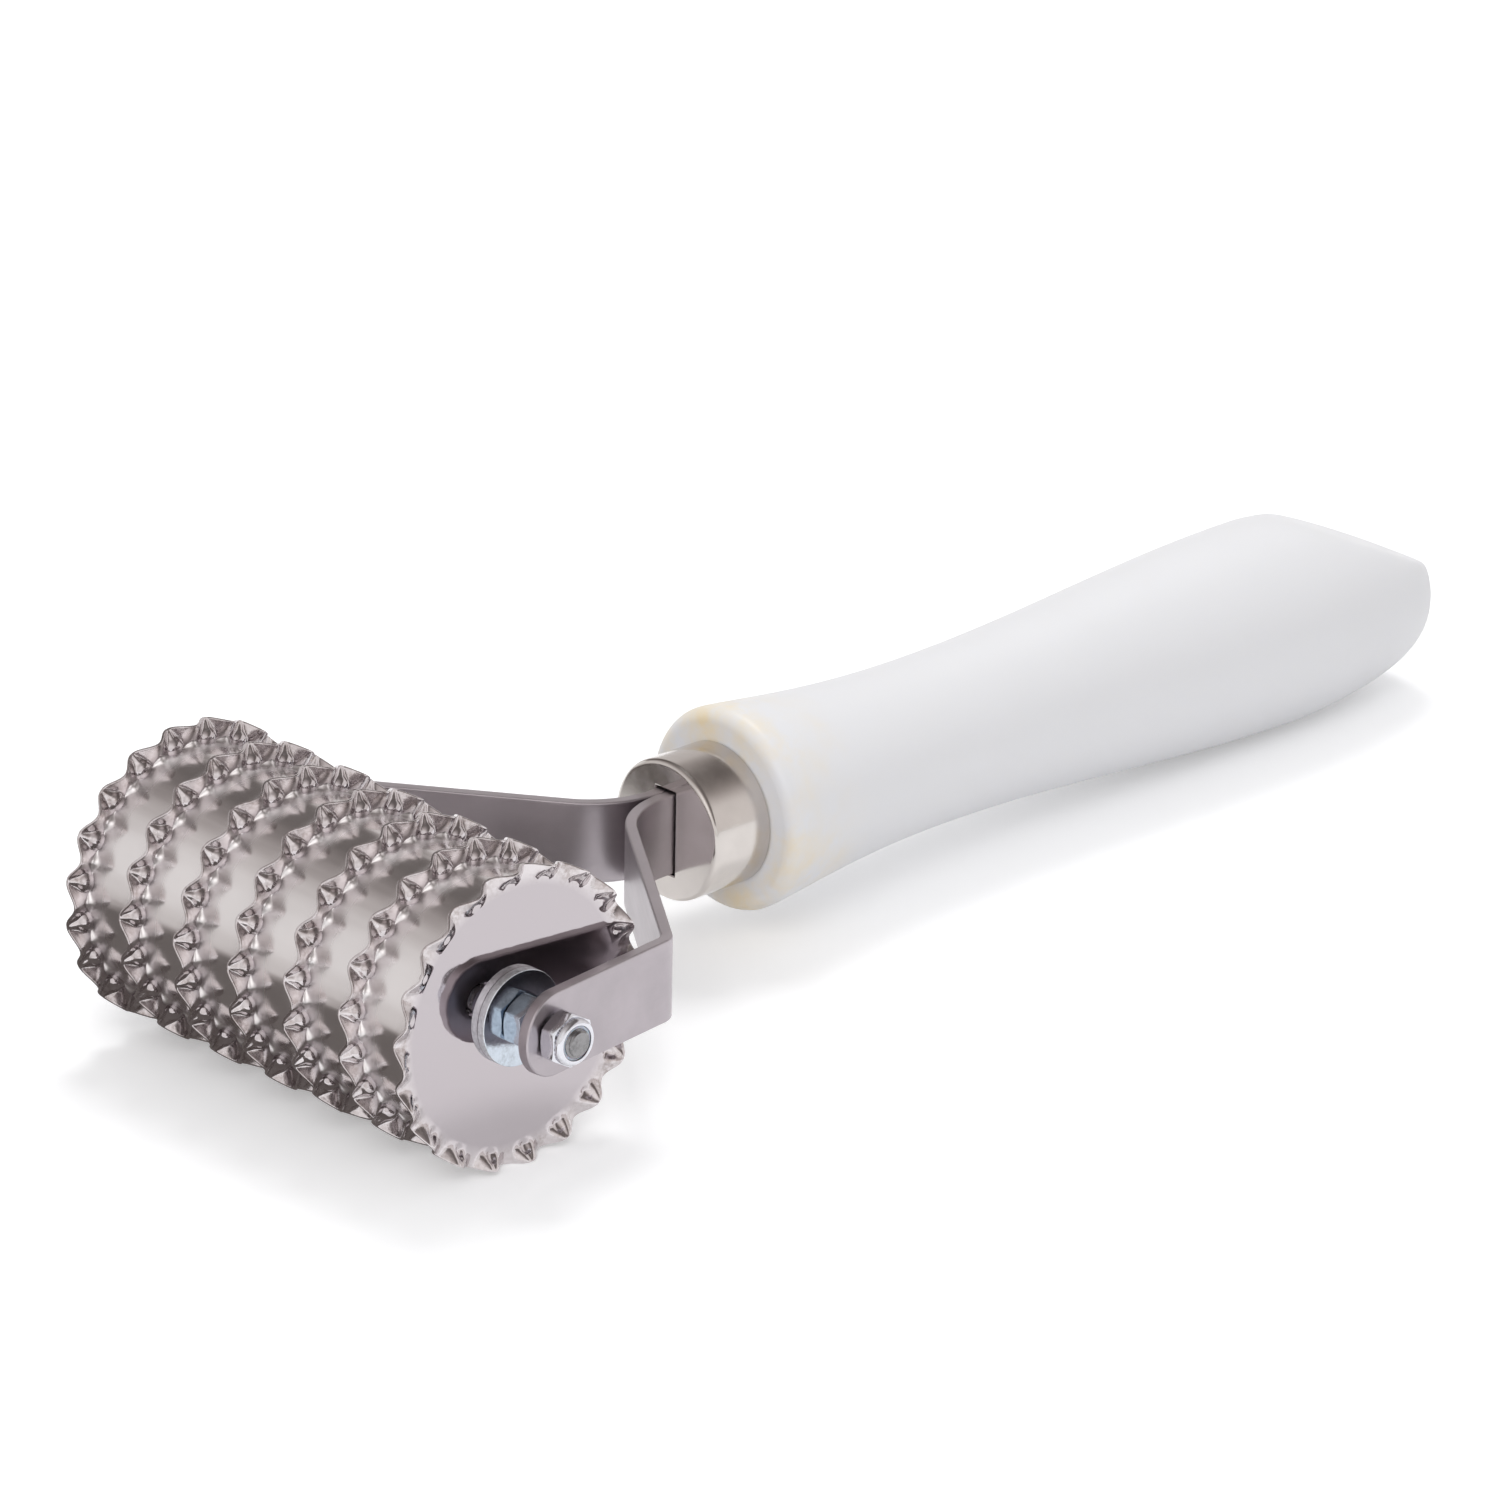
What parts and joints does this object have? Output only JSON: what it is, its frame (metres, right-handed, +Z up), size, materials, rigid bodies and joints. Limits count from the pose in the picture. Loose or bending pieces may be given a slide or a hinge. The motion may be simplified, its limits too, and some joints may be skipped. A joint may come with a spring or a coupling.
{
  "type": "multi-wheel pasta cutter",
  "caption": "Rolling dough cutter: crimped metal wheels on one drum turn on an axle in a two-armed yoke with a ferrule and a white moulded handle.",
  "frame": {"origin": "middle of the bounding box, on the surface that the tool lies on", "axes": "+X along the axle, +Y from the cutting wheels to the butt of the handle, +Z up from the surface"},
  "size_m": [0.1064, 0.2637, 0.05],
  "materials": {
    "wheel_nickel": "polished, crimped sheet",
    "drum_nickel": "polished tube with fine turning marks",
    "hub_steel": "plain drawn",
    "bush_bronze": "plain turned",
    "zinc": "bright bluish zinc plate",
    "nylon": "pale blue nylon",
    "yoke_nickel": "satin plated strip",
    "ferrule_nickel": "polished turned cap",
    "handle_plastic": "smooth white polyethylene"
  },
  "bodies": {
    "handle_and_yoke": {"handle": "handle_plastic", "ferrule": "ferrule_nickel", "yoke_arm_left": "yoke_nickel", "yoke_arm_right": "yoke_nickel", "tang_rivet": "hub_steel", "axle_rod": "zinc", "washer_left": "zinc", "washer_right": "zinc", "inner_nut_left": "zinc", "inner_nut_right": "zinc", "locknut_left": "zinc", "locknut_right": "zinc", "locknut_insert_left": "nylon", "locknut_insert_right": "nylon"},
    "rotor": {"wheel_1": "wheel_nickel", "wheel_2": "wheel_nickel", "wheel_3": "wheel_nickel", "wheel_4": "wheel_nickel", "wheel_5": "wheel_nickel", "wheel_6": "wheel_nickel", "wheel_7": "wheel_nickel", "drum_section_1": "drum_nickel", "drum_section_2": "drum_nickel", "drum_section_3": "drum_nickel", "drum_section_4": "drum_nickel", "drum_section_5": "drum_nickel", "drum_section_6": "drum_nickel", "hub_tube": "hub_steel", "bush_left": "bush_bronze", "bush_right": "bush_bronze"}
  },
  "joints": [
    {"name": "rotor_spin", "type": "hinge", "parent": "handle_and_yoke", "child": "rotor", "pos_m": [0, -0.10673, 0.025], "axis": [1, 0, 0], "continuous": true}
  ]
}
